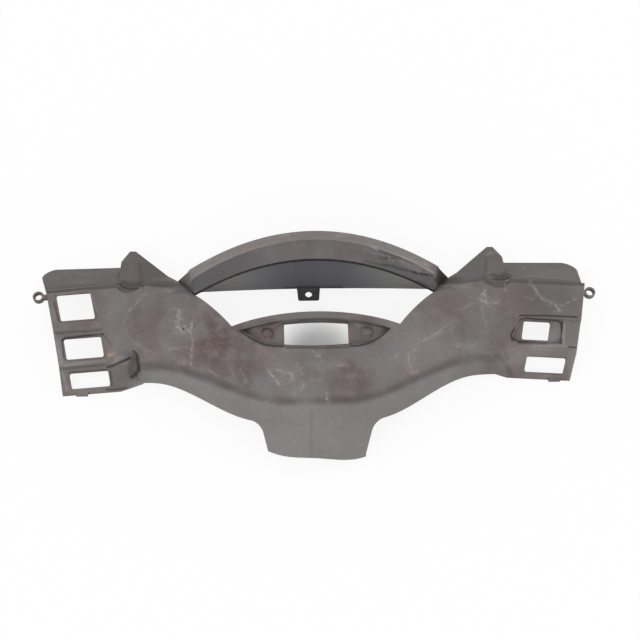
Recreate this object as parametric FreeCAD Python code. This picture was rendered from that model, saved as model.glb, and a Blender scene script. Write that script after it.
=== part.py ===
import FreeCAD, Part
import math
import os

V = FreeCAD.Vector

# Driving dimensions, in millimetres and degrees.
# X runs along the handlebar, Y away from the rider's side, Z up out of the open rim.

# Shell
WALL = 2.5
FAR_SLOPE = 52.0

# Arms and middle, as hat sections along X
ARM_START = 128.0
ARM_FADE = 118.0
ARM_END = 186.0
CENTRE_FLAT = 20.0
RIDGE_Y = 32.0
RIDGE_Z = 44.3
ARM_CROWN_Z = 47.5
LEFT_FOLD_Y = -35.5
RIGHT_FOLD_Y = -33.5
ARM_FOLD_Z = 38.0
CENTRE_RIDGE_Y = 12.0
CENTRE_RIDGE_Z = 54.0
CENTRE_CROWN_Z = 60.0
CENTRE_FOLD_Y = -68.0
CENTRE_FOLD_Z = 52.0
RIDGE_RADIUS = 8.0
CROWN_RADIUS = 80.0
FOLD_RADIUS = 4.5
CREASE_DEPTH = 3.4
CREASE_DROP = 3.0
CREASE_RADIUS = 2.5
LEDGE_DROP = 2.5
LEDGE_RADIUS = 5.0

# Neck and the notch on each side of it
NECK_LEAN = 0.79
NECK_HALF_WIDTH = 37.0
NECK_END_Z = 11.6
NECK_TILT = 3.9
NOTCH_APEX_X = 43.0
NOTCH_APEX_Z = 33.5
NOTCH_RADIUS = 7.0
NOTCH_FOOT_X = 152.0

# Switch housings at the two ends
HOUSING_INNER_X = 134.0
HOUSING_SWEEP = 4.0
HOUSING_RIDGE_Y = 34.0
HOUSING_RIDGE_Z = 42.0
LEFT_NEAR_Y = -38.2
RIGHT_NEAR_Y = -32.0
UPPER_PLATE_DROP = 2.5
STEP_HEIGHT = 2.5
LEFT_STEP_1_Y = -1.5
LEFT_STEP_2_Y = -24.0
RIGHT_STEP_1_Y = 4.0
RIGHT_STEP_2_Y = -19.0
MIDDLE_PLATE_DROP = 9.5
RIDGE_CHAMFER = 2.0
ARM_SINK = 6.0
ARM_SINK_FAR = 2.0

# End faces and flange corners
LEFT_END_X = 206.3
RIGHT_END_X = 208.3
LEFT_END_YAW = 12.2
RIGHT_END_YAW = 10.4
LEFT_END_DRAFT = 7.7
RIGHT_END_DRAFT = 3.0
FLANGE_CORNER_RADIUS = 14.0
LEFT_FLANGE_SETBACK = 2.0
RIGHT_FLANGE_SETBACK = 4.5

# Mirror boots
BOOT_TIP_Y = 74.0
BOOT_TIP_Z = 14.5
BOOT_TIP_OUTER_X = 147.0
BOOT_TIP_INNER_X = 141.0
BOOT_FLANK_Y = 62.0
BOOT_OUTER_X = 159.0
BOOT_TOP_Z = 38.0
WEB_FOOT_X = 108.6
WEB_FOOT_Y = 43.0
WEB_FOOT_Z = 22.0
SCALLOP_X = 143.7
SCALLOP_Y = 36.3
SCALLOP_RADIUS = 10.5

# Hood over the instrument
HOOD_HALF = 98.0
HOOD_BASE_Z = 20.0
HOOD_FRONT_Y = 37.0
HOOD_FRONT_BOW = 2.2
RIM_Y = 42.0
RIM_Z = 66.0
RIM_SWEEP = 21.7
RIM_FALL = 22.2
RIM_BAND = 15.0
RIM_RISE = 4.0
CREST_SWEEP = 24.4
CREST_FALL = 17.8
BEVEL_BAND = 8.5
BEVEL_DROP = 4.0
LIP_HEIGHT = 4.0
LIP_STEP = 2.5
BACK_DRAFT = 2.5
HOOD_END_X = 98.0
HOOD_END_Y = 44.0
HOOD_END_Z = 46.0
HOOD_END_YAW = 12.5
HOOD_END_DRAFT = 22.5

# Instrument opening and sill
OPENING_CORNER_X = 94.5
OPENING_CORNER_Y = 22.5
SILL_CORNER_X = 63.7
SILL_CORNER_Y = -8.0
OPENING_BOW = 1.5
SILL_MID_Y = 3.0
FLANGE_DEPTH_Z = 38.0
SILL_STRIP = 5.5
RECESS_HALF = 56.0
RECESS_LOWER_HALF = 40.6
RECESS_LOWER_Y = -22.7
RECESS_MID_Y = -26.0
SILL_SINK = 4.0
SILL_WINDOW_WIDTH = 48.4
SILL_BOSS_X = 37.1
SILL_BOSS_Y = -13.0
SILL_BOSS_DIAMETER = 9.5
SILL_DIMPLE = 1.0
SILL_SCREW_DIAMETER = 3.4
SILL_SCREW_DEPTH = 9.0

# Switch windows: centre, width along the bar and depth in plan
LEFT_WINDOW_1 = (183.9, 15.7)
LEFT_WINDOW_1_WIDTH = 26.0
LEFT_WINDOW_1_DEPTH = 21.0
LEFT_WINDOW_2 = (177.6, -15.0)
LEFT_WINDOW_2_WIDTH = 28.4
LEFT_WINDOW_2_DEPTH = 14.6
LEFT_WINDOW_3 = (174.8, -33.9)
LEFT_WINDOW_3_WIDTH = 30.0
LEFT_WINDOW_3_DEPTH = 8.6
RIGHT_WINDOW_1 = (171.8, -6.2)
RIGHT_WINDOW_1_WIDTH = 20.8
RIGHT_WINDOW_1_DEPTH = 13.6
RIGHT_WINDOW_2 = (180.2, -28.1)
RIGHT_WINDOW_2_WIDTH = 31.0
RIGHT_WINDOW_2_DEPTH = 8.3
UPPER_WINDOW_YAW = 12.2
MIDDLE_WINDOW_YAW = 9.0
LOWER_WINDOW_YAW = 3.0
WINDOW_RADIUS = 1.6
REBATE_WIDTH = 1.6
REBATE_SINK = 0.8
RIGHT_RECESS = (174.0, -7.4)
RIGHT_RECESS_WIDTH = 35.0
RIGHT_RECESS_DEPTH = 16.5
RIGHT_RECESS_SLANT = 4.0
RECESS_SINK = 2.5
LEFT_POCKET_X = 137.0
LEFT_POCKET_Y = -20.0
LEFT_POCKET_WIDTH = 25.0

# Screw tab, cable eyelets, rim tongues and inside posts
TAB_X = -4.0
TAB_Y = 26.5
TAB_WIDTH = 16.5
TAB_THICKNESS = 3.0
TAB_HOLE_Y = 31.2
TAB_HOLE_DIAMETER = 5.6
LEFT_EYELET_Y = 24.5
RIGHT_EYELET_Y = 21.8
EYELET_Z = 40.8
EYELET_HEIGHT = 4.0
EYELET_DIAMETER = 8.6
EYELET_BORE = 5.6
LEFT_EYELET_GAP = 2.3
RIGHT_EYELET_GAP = 0.4
EYELET_STEM = 3.4
LEFT_TONGUE_X = 182.0
RIGHT_TONGUE_X = 189.0
TONGUE_WIDTH = 9.0
TONGUE_REACH = 1.4
POST_X = 116.0
POST_Y = 23.0
POST_DIAMETER = 8.0
POST_FOOT_Z = 8.0
POST_SCREW_DIAMETER = 3.2
POST_SCREW_DEPTH = 22.0
RIB_THICKNESS = 1.6
RIB_LENGTH = 26.0
RIB_FOOT_Z = 26.0

# Reach of the rough solids past the rim, and points on each rounded corner of an arm section
BASE = -10.0
HOUSING_BASE = -13.0
BOOT_BASE = -16.0
INNER_DEPTH = 10.0
INNER_BASE = BASE - INNER_DEPTH
ABOVE = 120.0
OUTER_ARC_POINTS = (5, 5, 5, 4, 5)
INNER_ARC_POINTS = (2, 3, 2, 2, 2)


def mix(a, b, t):
    return a + (b - a) * t


def blend(value, start, end):
    """Smooth rise from 0 at start to 1 at end."""
    t = min(max((value - start) / (end - start), 0.0), 1.0)
    return t * t * (3.0 - 2.0 * t)


def slope(degrees):
    return math.tan(math.radians(degrees))


def across(x):
    """Places a section in the plane X = x."""
    return lambda y, z: V(x, y, z)


def along(y):
    """Places a section in the plane Y = y."""
    return lambda x, z: V(x, y, z)


def level(z):
    """Places an outline in the plane Z = z."""
    return lambda x, y: V(x, y, z)


def fillet(corners, i):
    """Start, middle and end of the arc that rounds corner i of a closed outline."""
    a, b, r = corners[i]
    here = V(a, b, 0)
    before = V(*corners[i - 1][:2], 0) - here
    after = V(*corners[(i + 1) % len(corners)][:2], 0) - here
    before.normalize()
    after.normalize()
    half = before.getAngle(after) / 2.0
    reach = r / math.tan(half)
    inward = before + after
    inward.normalize()
    return [here + before * reach, here + inward * (r / math.sin(half) - r), here + after * reach]


def rounded(corners, place):
    """Closed wire through (a, b, radius) corners, each rounded by its radius."""
    arcs = [[place(p.x, p.y) for p in fillet(corners, i)] for i in range(len(corners))]
    edges = []
    for i, (start, mid, end) in enumerate(arcs):
        if corners[i][2] > 0:
            edges.append(Part.Arc(start, mid, end).toShape())
        edges.append(Part.LineSegment(end, arcs[(i + 1) % len(arcs)][0]).toShape())
    return Part.Wire(edges)


def hat(corners, counts, place):
    """Closed hat section whose corners above the base are rounded by arcs of counts points."""
    ring = [place(*corners[0][:2])]
    for i, count in enumerate(counts, 1):
        start, mid, end = [place(p.x, p.y) for p in fillet(corners, i)]
        ring += Part.Arc(start, mid, end).toShape().discretize(Number=count)
    ring.append(place(*corners[-1][:2]))
    return Part.makePolygon(ring + ring[:1])


def inset(corners, gaps):
    """Moves side i of an anticlockwise outline inward by gaps[i] and rounds the corners to suit."""
    count = len(corners)
    lines = []
    for i in range(count):
        a, b = corners[i], corners[(i + 1) % count]
        dy, dz = b[0] - a[0], b[1] - a[1]
        size = math.hypot(dy, dz)
        ny, nz = -dz / size, dy / size
        lines.append((a[0] + ny * gaps[i], a[1] + nz * gaps[i], dy / size, dz / size))
    moved = []
    for i in range(count):
        py, pz, uy, uz = lines[i - 1]
        qy, qz, wy, wz = lines[i]
        turn = uy * wz - uz * wy
        k = ((qy - py) * wz - (qz - pz) * wy) / turn
        radius = corners[i][2]
        if radius > 0:
            gap = gaps[i] if turn > 0 else -gaps[i]
            radius = max(radius - gap, 0.5)
        moved.append((py + uy * k, pz + uz * k, radius))
    return moved


def prism(corners, low, high):
    """Upright prism on a plan outline of (x, y, radius) corners."""
    face = Part.Face(rounded(corners, level(low)))
    return face.extrude(V(0, 0, high - low))


def post(x, y, diameter, low, high):
    return Part.makeCylinder(diameter / 2.0, high - low, V(x, y, low))


def beyond_plane(point, outward, depth=120.0):
    """Block that fills the space beyond a plane through a point."""
    normal = V(outward)
    normal.normalize()
    side = normal.cross(V(0, 0, 1))
    side.normalize()
    rise = side.cross(normal)
    size = 400.0
    first = V(point) - side * (size / 2) - rise * (size / 2)
    ring = [first, first + side * size, first + side * size + rise * size, first + rise * size, first]
    return Part.Face(Part.makePolygon(ring)).extrude(normal * depth)


def both_sides(shape):
    """The shape and its mirror image about X = 0."""
    return [shape, shape.mirror(V(0, 0, 0), V(1, 0, 0))]


# Sections of the arms and the middle

LEFT_PLATES = (LEFT_STEP_1_Y, LEFT_STEP_2_Y, LEFT_NEAR_Y)
RIGHT_PLATES = (RIGHT_STEP_1_Y, RIGHT_STEP_2_Y, RIGHT_NEAR_Y)


def arm_corners(x):
    a = abs(x)
    t = blend(a, CENTRE_FLAT, ARM_START)
    s = blend(a, SILL_CORNER_X - 4.0, ARM_START + 4.0)
    ridge_y = mix(CENTRE_RIDGE_Y, RIDGE_Y, s)
    ridge_z = mix(CENTRE_RIDGE_Z, RIDGE_Z, s)
    fold_y = mix(CENTRE_FOLD_Y, LEFT_FOLD_Y if x < 0 else RIGHT_FOLD_Y, t)
    fold_z = mix(CENTRE_FOLD_Z, ARM_FOLD_Z, t)
    lean = NECK_LEAN * (1.0 - blend(a, NECK_HALF_WIDTH, ARM_START + 6.0))
    return [
        (ridge_y + (ridge_z - BASE) / slope(FAR_SLOPE), BASE, 0),
        (ridge_y, ridge_z, RIDGE_RADIUS),
        ((ridge_y + fold_y) / 2.0, mix(CENTRE_CROWN_Z, ARM_CROWN_Z, t), CROWN_RADIUS),
        (fold_y, fold_z, FOLD_RADIUS),
        (fold_y - lean * (fold_z - BASE), BASE, 0),
    ]


def housing_corners(x, step_1, step_2, near_y):
    shift = (abs(x) - ARM_START) * slope(HOUSING_SWEEP)
    ridge_z = HOUSING_RIDGE_Z
    top_1 = ridge_z - UPPER_PLATE_DROP
    top_2 = top_1 - STEP_HEIGHT - MIDDLE_PLATE_DROP
    near_slope = (top_2 - STEP_HEIGHT) / (step_2 - 1.0 - near_y)
    near_base = near_y + HOUSING_BASE / near_slope
    return [
        (HOUSING_RIDGE_Y + (ridge_z - HOUSING_BASE) / slope(FAR_SLOPE), HOUSING_BASE, 0),
        (HOUSING_RIDGE_Y - shift + RIDGE_CHAMFER / slope(FAR_SLOPE), ridge_z - RIDGE_CHAMFER, 0),
        (HOUSING_RIDGE_Y - shift - RIDGE_CHAMFER, ridge_z, 0),
        (step_1 - shift, top_1, 0),
        (step_1 - 1.0 - shift, top_1 - STEP_HEIGHT, 0),
        (step_2 - shift, top_2, 0),
        (step_2 - 1.0 - shift, top_2 - STEP_HEIGHT, 0),
        (near_base - shift, HOUSING_BASE, 0),
    ]


def sunk_corners(x, side):
    """Arm section that lies just inside the housing."""
    full = housing_corners(x, *side)
    radii = [0, RIDGE_RADIUS, CROWN_RADIUS, FOLD_RADIUS, 0]
    kept = [(y, z, r) for (y, z, _), r in zip((full[0], full[1], full[4], full[6], full[7]), radii)]
    return inset(kept, [ARM_SINK_FAR] + [ARM_SINK] * 3 + [BASE - HOUSING_BASE])


def creased(corners):
    """Draws the fold in over a crease, with the ledge of the skirt standing out below it."""
    y, z, radius = corners[3]
    base_y, base_z, _ = corners[4]
    lean = (y - base_y) / (z - base_z)
    ledge_drop = CREASE_DROP + LEDGE_DROP
    fold = (y + CREASE_DEPTH + 0.6, z + 1.0, radius)
    crease = (y + CREASE_DEPTH - lean * CREASE_DROP, z - CREASE_DROP, CREASE_RADIUS)
    ledge = (y - lean * ledge_drop, z - ledge_drop, LEDGE_RADIUS)
    return corners[:3] + [fold, crease, ledge] + corners[4:]


def body_corners(x):
    """Arm section that fades into the housing towards the end of the arm."""
    side = LEFT_PLATES if x < 0 else RIGHT_PLATES
    fade = blend(abs(x), ARM_FADE, ARM_END)
    pairs = zip(arm_corners(x), sunk_corners(x, side))
    return creased([tuple(mix(p, q, fade) for p, q in zip(a, b)) for a, b in pairs])


SKIN = [WALL] * 6 + [-INNER_DEPTH]
middle = [ARM_FADE * i / 4.0 for i in range(-4, 5)]
fade = [mix(ARM_FADE, ARM_END, i / 4.0) for i in range(1, 5)]
profiles = [(x, body_corners(x)) for x in [-a for a in reversed(fade)] + middle + fade]
outer_hats = [hat(c, OUTER_ARC_POINTS, across(x)) for x, c in profiles]
inner_hats = [hat(inset(c, SKIN), INNER_ARC_POINTS, across(x)) for x, c in profiles]
arm_outer = Part.makeLoft(outer_hats, True, False)
arm_inner = Part.makeLoft(inner_hats, True, False)


# Switch housings

def housing(hand, plates, gaps, inner_x, outer_x):
    ends = []
    for a in (inner_x, outer_x):
        corners = inset(housing_corners(a, *plates), gaps)
        ends.append(rounded(corners, across(hand * a)))
    return Part.makeLoft(ends, True, True)


NO_GAPS = [0] * 8
HOUSING_SKIN = [WALL] * 7 + [-INNER_DEPTH]
FAR_END_X = RIGHT_END_X + 30.0
left_outer = housing(-1, LEFT_PLATES, NO_GAPS, HOUSING_INNER_X, FAR_END_X)
left_inner = housing(-1, LEFT_PLATES, HOUSING_SKIN, HOUSING_INNER_X - 5, FAR_END_X + 5)
right_outer = housing(1, RIGHT_PLATES, NO_GAPS, HOUSING_INNER_X, FAR_END_X)
right_inner = housing(1, RIGHT_PLATES, HOUSING_SKIN, HOUSING_INNER_X - 5, FAR_END_X + 5)


# Mirror boots with the web that runs down to the hood

def boot_top(y):
    return mix(BOOT_TOP_Z, BOOT_TIP_Z, (y - RIDGE_Y) / (BOOT_TIP_Y - RIDGE_Y))


def boot_corners(y):
    flank = max(0.0, (y - BOOT_FLANK_Y) / (BOOT_TIP_Y - BOOT_FLANK_Y))
    web = (y - WEB_FOOT_Y) / (BOOT_TIP_Y - WEB_FOOT_Y)
    top = boot_top(y)
    outer = mix(BOOT_OUTER_X, BOOT_TIP_OUTER_X, flank)
    inner = mix(WEB_FOOT_X, BOOT_TIP_INNER_X, web)
    middle = (BOOT_TIP_OUTER_X + BOOT_TIP_INNER_X) / 2.0
    low = mix(WEB_FOOT_Z, BOOT_TIP_Z - 2.0, web)
    return [
        (outer, BOOT_BASE, 0),
        (mix(outer, middle, 0.45 - 0.25 * flank), top, 0),
        (mix(inner, middle, 0.8 - 0.5 * flank), top, 0),
        (inner, low, 0),
        (inner, BOOT_BASE, 0),
    ]


def boot(gaps, ys):
    return Part.makeLoft([rounded(inset(boot_corners(y), gaps), along(y)) for y in ys], True, True)


BOOT_ROOT_Y = RIDGE_Y - 2.0
boot_outer = boot([0] * 5, (BOOT_ROOT_Y, BOOT_FLANK_Y, BOOT_TIP_Y))
boot_inner = boot([WALL * 0.8] * 4 + [-INNER_DEPTH], (BOOT_ROOT_Y - 5, BOOT_FLANK_Y - 1, BOOT_TIP_Y + 0.5))


# Hood

def hood_corners(x):
    u = min(abs(x) / HOOD_HALF, 1.0) ** 2
    rim_y = RIM_Y - RIM_SWEEP * u
    rim_z = RIM_Z - RIM_FALL * u
    crest_y = RIM_Y + RIM_BAND - CREST_SWEEP * u
    crest_z = RIM_Z + RIM_RISE - CREST_FALL * u
    back_y = crest_y + BEVEL_BAND
    return [
        (back_y + BACK_DRAFT, HOOD_BASE_Z, 0),
        (back_y, crest_z - BEVEL_DROP, 0),
        (crest_y, crest_z, 0),
        (rim_y, rim_z, 0),
        (rim_y, rim_z - LIP_HEIGHT, 0),
        (rim_y + LIP_STEP, rim_z - LIP_HEIGHT - 1.0, 0),
        (HOOD_FRONT_Y - HOOD_FRONT_BOW * u, HOOD_BASE_Z, 0),
    ]


def hood(gaps, cap_shift):
    xs = [HOOD_HALF * i / 3.0 for i in range(-3, 4)]
    wires = [rounded(inset(hood_corners(x), gaps), across(x)) for x in xs]
    arch = Part.makeLoft(wires, True, False)
    block = Part.Face(wires[-1]).extrude(V(16, 0, 0))
    ends = both_sides(block)
    whole = arch.fuse(ends)
    outward = V(1, -slope(HOOD_END_YAW), slope(HOOD_END_DRAFT))
    caps = both_sides(beyond_plane(V(HOOD_END_X - cap_shift, HOOD_END_Y, HOOD_END_Z), outward))
    return whole.cut(caps)


hood_outer = hood([0] * 7, 0)
hood_inner = hood([WALL] * 6 + [-2.0], WALL * 1.1)


# Instrument opening: the near edge is a V on each side with the sill arched between them

def opening_prism(grow, low):
    """Space between the sill and the hood, its near edge moved out by grow."""
    run = V(OPENING_CORNER_X - SILL_CORNER_X, OPENING_CORNER_Y - SILL_CORNER_Y, 0)
    run.normalize()
    out = V(run.y, -run.x, 0) * grow
    far = BOOT_TIP_Y + 20.0
    corner = V(OPENING_CORNER_X, OPENING_CORNER_Y, low) + out
    sill = V(SILL_CORNER_X, SILL_CORNER_Y, low) + out
    middle = V(0, SILL_MID_Y - grow, low)
    bow = (corner + sill) * 0.5 - V(run.y, -run.x, 0) * OPENING_BOW
    left = [V(-p.x, p.y, p.z) for p in (corner, sill)]
    edges = [
        Part.LineSegment(V(-corner.x, far, low), left[0]).toShape(),
        Part.Arc(left[0], V(-bow.x, bow.y, bow.z), left[1]).toShape(),
        Part.Arc(left[1], middle, sill).toShape(),
        Part.Arc(sill, bow, corner).toShape(),
        Part.LineSegment(corner, V(corner.x, far, low)).toShape(),
        Part.LineSegment(V(corner.x, far, low), V(-corner.x, far, low)).toShape(),
    ]
    return Part.Face(Part.Wire(edges)).extrude(V(0, 0, ABOVE - low))


def web_prism(grow):
    """Space beyond the far edge of the web between a boot and the hood."""
    far = BOOT_TIP_Y + 20.0
    dx = BOOT_TIP_INNER_X - WEB_FOOT_X
    dy = BOOT_TIP_Y - WEB_FOOT_Y
    end_x = OPENING_CORNER_X - 10.0
    end_y = WEB_FOOT_Y - (WEB_FOOT_X - end_x) * dy / dx
    corners = [
        (BOOT_TIP_INNER_X, far, 0),
        (end_x, far, 0),
        (end_x, end_y - grow, 0),
        (BOOT_TIP_INNER_X, BOOT_TIP_Y - grow, 0),
    ]
    return prism(corners, INNER_BASE - 10, ABOVE)


def scallop(grow):
    """Dip of the ridge at the foot of a boot, its floor carrying on the top of the boot."""
    near, far = SCALLOP_Y - 30.0, SCALLOP_Y + 30.0
    ramp = [V(0, y, boot_top(y) + 0.3 - grow) for y in (near, far)]
    ring = [V(0, near, INNER_BASE)] + ramp + [V(0, far, INNER_BASE), V(0, near, INNER_BASE)]
    below = Part.Face(Part.makePolygon(ring)).extrude(V(2 * SCALLOP_X, 0, 0))
    well = post(SCALLOP_X, SCALLOP_Y, 2 * (SCALLOP_RADIUS + grow), HOOD_BASE_Z, ABOVE)
    return well.cut(below)


beyond_web = both_sides(web_prism(0)) + both_sides(scallop(0))
inside_web = both_sides(web_prism(WALL)) + both_sides(scallop(WALL))
flange = [opening_prism(WALL, FLANGE_DEPTH_Z), opening_prism(-WALL, INNER_BASE)]
body_outer = arm_outer.fuse([left_outer, right_outer]).cut([opening_prism(0, INNER_BASE)] + beyond_web)
body_inner = arm_inner.fuse([left_inner, right_inner]).cut(flange + inside_web)
outer = body_outer.fuse([hood_outer] + both_sides(boot_outer))
shell = outer.cut([body_inner, hood_inner] + both_sides(boot_inner))

# Rim: table plane, notches beside the neck, neck end, end faces and flange corners

floor = Part.makeBox(600, 400, 100, V(-300, -200, -100))
notch = [
    (NOTCH_APEX_X, NOTCH_APEX_Z, NOTCH_RADIUS),
    (NECK_HALF_WIDTH, NECK_END_Z, 0),
    (NECK_HALF_WIDTH - 2, INNER_BASE, 0),
    (NOTCH_FOOT_X, INNER_BASE, 0),
    (NOTCH_FOOT_X, 0, 0),
]
notch_cut = Part.Face(rounded(notch, along(-150))).extrude(V(0, 130, 0))
neck_end = V(0, CENTRE_FOLD_Y, NECK_END_Z)
neck_cut = Part.makeBox(2 * NECK_HALF_WIDTH + 8, 90, 60, V(-NECK_HALF_WIDTH - 4, -140, NECK_END_Z - 60))
neck_cut.rotate(neck_end, V(0, 1, 0), NECK_TILT)


def end_cuts(hand, end_x, yaw, draft, setback):
    """End face of one housing and the rounded corner of its flange."""
    across_end = V(hand, -slope(yaw), slope(draft))
    face_cut = beyond_plane(V(hand * end_x, 0, 0), across_end)
    far_y = HOUSING_RIDGE_Y + HOUSING_RIDGE_Z / slope(FAR_SLOPE)
    inner_x = BOOT_OUTER_X + 6.0
    flange_x = end_x - setback
    kept = [
        (flange_x, 0, 0),
        (flange_x + far_y * slope(yaw), far_y, FLANGE_CORNER_RADIUS),
        (inner_x, far_y, 0),
        (inner_x, 0, 0),
    ]
    kept = [(hand * x, y, r) for x, y, r in kept]
    root = V(inner_x if hand > 0 else -inner_x - 100, HOUSING_RIDGE_Y - 4.0, -20)
    block = Part.makeBox(100, 60, 100, root)
    return [face_cut, block.cut(prism(kept, -30, 100))]


LEFT_END = (-1, LEFT_END_X, LEFT_END_YAW, LEFT_END_DRAFT)
RIGHT_END = (1, RIGHT_END_X, RIGHT_END_YAW, RIGHT_END_DRAFT)
ends = end_cuts(*LEFT_END, LEFT_FLANGE_SETBACK) + end_cuts(*RIGHT_END, RIGHT_FLANGE_SETBACK)
hood_foot = [
    (WEB_FOOT_X - 4, HOOD_BASE_Z, 0),
    (-WEB_FOOT_X + 4, HOOD_BASE_Z, 0),
    (-WEB_FOOT_X - 14, INNER_BASE, 0),
    (WEB_FOOT_X + 14, INNER_BASE, 0),
]
hood_foot_cut = Part.Face(rounded(hood_foot, along(OPENING_CORNER_Y - 12))).extrude(V(0, 100, 0))
shell = shell.cut([floor, neck_cut, hood_foot_cut] + both_sides(notch_cut) + ends)


# Recesses: a pad behind the skin carries a floor that follows the skin

def grown(corners, gap):
    return inset(corners, [-gap] * len(corners))


def recess(body, hole, room, skin_outer, floor_outer, floor_inner):
    """Sinks a hole into the body with a floor of its own and walls that fill the room around it."""
    pad = room.common(skin_outer).cut(floor_inner)
    return body.fuse(pad).cut(hole.cut(floor_outer))


def skewed(side, centre, width, depth, yaw, slant=0.0):
    """Outline that follows the sweep of the housing, its ends turned by yaw."""
    corners = []
    for du, dv in ((0.5, -0.5), (0.5, 0.5), (-0.5, 0.5), (-0.5, -0.5)):
        lean = slant * dv if du < 0 else 0.0
        x = centre[0] + du * width + dv * depth * slope(yaw) + 2 * lean
        y = centre[1] + dv * depth - du * width * slope(HOUSING_SWEEP)
        corners.append((side * x, y, WINDOW_RADIUS))
    return corners if side > 0 else corners[::-1]


def lowered(shape, distance):
    copy = shape.copy()
    copy.translate(V(0, 0, -distance))
    return copy


right_size = (RIGHT_RECESS_WIDTH, RIGHT_RECESS_DEPTH)
right_outline = skewed(1, RIGHT_RECESS, *right_size, MIDDLE_WINDOW_YAW, RIGHT_RECESS_SLANT)
shell = recess(
    shell,
    prism(right_outline, INNER_BASE, ABOVE),
    prism(grown(right_outline, WALL), 15, ABOVE),
    right_outer,
    lowered(right_outer, RECESS_SINK),
    lowered(right_inner, RECESS_SINK),
)

near = LEFT_NEAR_Y - 20.0
pocket_outline = [
    (-LEFT_POCKET_X, near, 0),
    (-LEFT_POCKET_X, LEFT_POCKET_Y, 3.0),
    (-LEFT_POCKET_X - LEFT_POCKET_WIDTH, LEFT_POCKET_Y, 0),
    (-LEFT_POCKET_X - LEFT_POCKET_WIDTH, near, 0),
]
shell = recess(
    shell,
    prism(pocket_outline, INNER_BASE, ABOVE),
    prism(grown(pocket_outline, WALL), 0, ABOVE).cut(both_sides(notch_cut)),
    arm_outer,
    left_outer,
    left_inner,
)


def lens(grow, low, high):
    """Sill recess: arched along the strip, bowed along the near side."""
    top = SILL_MID_Y - SILL_STRIP + grow
    side = SILL_CORNER_Y - SILL_STRIP + 2.0
    a = V(-RECESS_HALF - grow, side, low)
    b = V(RECESS_HALF + grow, side, low)
    c = V(RECESS_LOWER_HALF + grow, RECESS_LOWER_Y - grow, low)
    d = V(-RECESS_LOWER_HALF - grow, RECESS_LOWER_Y - grow, low)
    edges = [
        Part.Arc(a, V(0, top, low), b).toShape(),
        Part.LineSegment(b, c).toShape(),
        Part.Arc(c, V(0, RECESS_MID_Y - grow, low), d).toShape(),
        Part.LineSegment(d, a).toShape(),
    ]
    return Part.Face(Part.Wire(edges)).extrude(V(0, 0, high - low))


shell = recess(
    shell,
    lens(0, INNER_BASE, ABOVE),
    lens(WALL, INNER_BASE + 60, ABOVE),
    arm_outer,
    lowered(arm_outer, SILL_SINK),
    lowered(arm_inner, SILL_SINK),
)

# Windows through the plates and the sill

framed = [
    skewed(-1, LEFT_WINDOW_1, LEFT_WINDOW_1_WIDTH, LEFT_WINDOW_1_DEPTH, UPPER_WINDOW_YAW),
    skewed(-1, LEFT_WINDOW_2, LEFT_WINDOW_2_WIDTH, LEFT_WINDOW_2_DEPTH, MIDDLE_WINDOW_YAW),
]
plain = [
    skewed(-1, LEFT_WINDOW_3, LEFT_WINDOW_3_WIDTH, LEFT_WINDOW_3_DEPTH, LOWER_WINDOW_YAW),
    skewed(1, RIGHT_WINDOW_1, RIGHT_WINDOW_1_WIDTH, RIGHT_WINDOW_1_DEPTH, MIDDLE_WINDOW_YAW),
    skewed(1, RIGHT_WINDOW_2, RIGHT_WINDOW_2_WIDTH, RIGHT_WINDOW_2_DEPTH, LOWER_WINDOW_YAW),
]
cuts = [prism(outline, INNER_BASE, ABOVE) for outline in framed + plain]
rebate_floor = lowered(left_outer, REBATE_SINK)
cuts += [prism(grown(outline, REBATE_WIDTH), 5, ABOVE).cut(rebate_floor) for outline in framed]
sill_half = SILL_WINDOW_WIDTH / 2.0
sill_slot = Part.makeBox(2 * sill_half, 80, 200, V(-sill_half, -60, -50))
sill_window = lens(-0.4, INNER_BASE, ABOVE).common(sill_slot)
shell = shell.cut(cuts + [sill_window])

# Screw tab under the hood

tab_far = HOOD_FRONT_Y + WALL / 2.0
tab = [
    (TAB_X + TAB_WIDTH / 2.0, TAB_Y, 1.5),
    (TAB_X + TAB_WIDTH / 2.0 + 1.0, tab_far, 0),
    (TAB_X - TAB_WIDTH / 2.0 - 1.0, tab_far, 0),
    (TAB_X - TAB_WIDTH / 2.0, TAB_Y, 1.5),
]
tab_top = HOOD_BASE_Z + TAB_THICKNESS
added = [prism(tab, HOOD_BASE_Z, tab_top)]
drilled = [post(TAB_X, TAB_HOLE_Y, TAB_HOLE_DIAMETER, HOOD_BASE_Z - 5, tab_top + 5)]

# Cable eyelets on the end faces and tongues on the near rims

def eyelet(hand, end_x, yaw, draft, y, gap):
    """Ring on a short stem that stands off one end face, and its bore."""
    face_x = end_x + y * slope(yaw) - EYELET_Z * slope(draft)
    x = hand * (face_x + EYELET_DIAMETER / 2.0 + gap)
    low = EYELET_Z - EYELET_HEIGHT
    ring = post(x, y, EYELET_DIAMETER, low, EYELET_Z)
    root = V(min(x, x - hand * EYELET_DIAMETER), y - EYELET_STEM / 2.0, low)
    stem = Part.makeBox(EYELET_DIAMETER, EYELET_STEM, EYELET_HEIGHT, root)
    return ring.fuse(stem), post(x, y, EYELET_BORE, low - 5, EYELET_Z + 5)


def tongue(x, near_y):
    """Flat tongue that reaches out under the near rim."""
    edge_y = near_y - (abs(x) - ARM_START) * slope(HOUSING_SWEEP)
    root = V(x - TONGUE_WIDTH / 2.0, edge_y - TONGUE_REACH, 0)
    return Part.makeBox(TONGUE_WIDTH, TONGUE_REACH + WALL, WALL, root)


for ring, bore in (
    eyelet(*LEFT_END, LEFT_EYELET_Y, LEFT_EYELET_GAP),
    eyelet(*RIGHT_END, RIGHT_EYELET_Y, RIGHT_EYELET_GAP),
):
    added.append(ring)
    drilled.append(bore)
added += [tongue(-LEFT_TONGUE_X, LEFT_NEAR_Y), tongue(RIGHT_TONGUE_X, RIGHT_NEAR_Y)]

# Screw posts behind the sill and inside the arms, the arm posts with a rib each

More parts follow.
